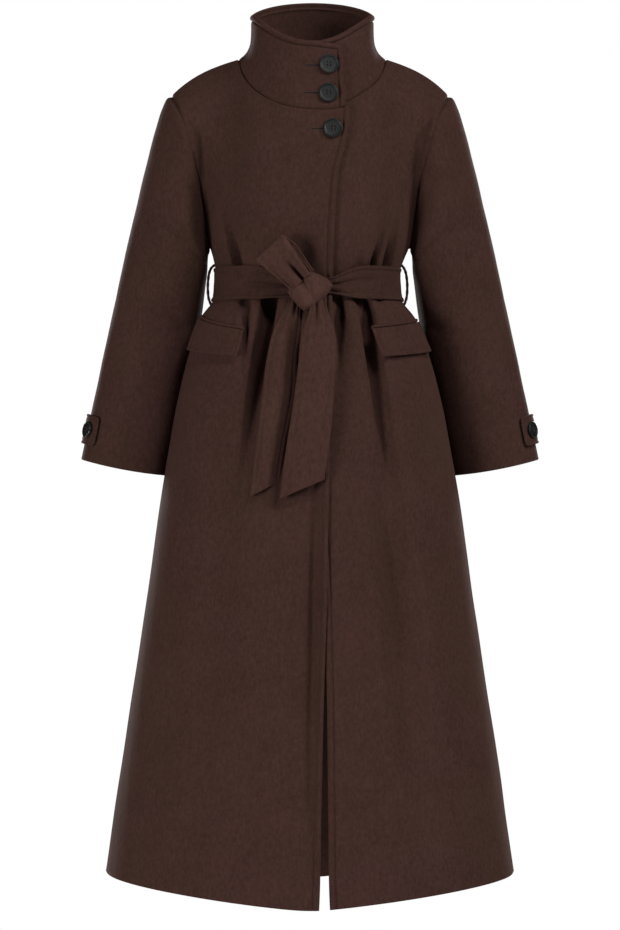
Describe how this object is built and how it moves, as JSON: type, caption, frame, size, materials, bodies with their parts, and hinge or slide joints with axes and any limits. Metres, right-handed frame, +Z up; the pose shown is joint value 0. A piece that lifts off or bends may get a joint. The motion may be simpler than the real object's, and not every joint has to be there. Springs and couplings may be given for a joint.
{
  "type": "long belted wool coat",
  "caption": "Ankle-length wool coat with a buttoned funnel collar, lapped front, tied belt, flap pockets and cuff tabs, standing open and hollow as if worn.",
  "frame": {"origin": "on the coat's axis, level with the neck points at the top of the side necks, where shoulders or a hanger carry it", "axes": "+X to the wearer's left, +Y to the wearer's back, +Z up along the coat"},
  "size_m": [0.6952, 0.4059, 1.3457],
  "materials": {
    "wool": "matte brushed melton",
    "belt_wool": "matte brushed melton",
    "button": "satin charcoal"
  },
  "bodies": {
    "root": {"front_right": "wool", "front_left": "wool", "back": "wool", "sleeve_right": "wool", "sleeve_left": "wool", "collar": "wool", "flap_right": "wool", "flap_left": "wool", "welt_right": "wool", "welt_left": "wool", "tab_right": "wool", "tab_left": "wool", "belt_band": "belt_wool", "belt_knot": "belt_wool", "belt_loop": "belt_wool", "belt_tail_rear": "belt_wool", "belt_tail_front": "belt_wool", "keeper_right": "belt_wool", "keeper_left": "belt_wool", "button_collar_top": "button", "button_collar_low": "button", "button_chest": "button", "button_cuff_right": "button", "button_cuff_left": "button"}
  },
  "joints": []
}
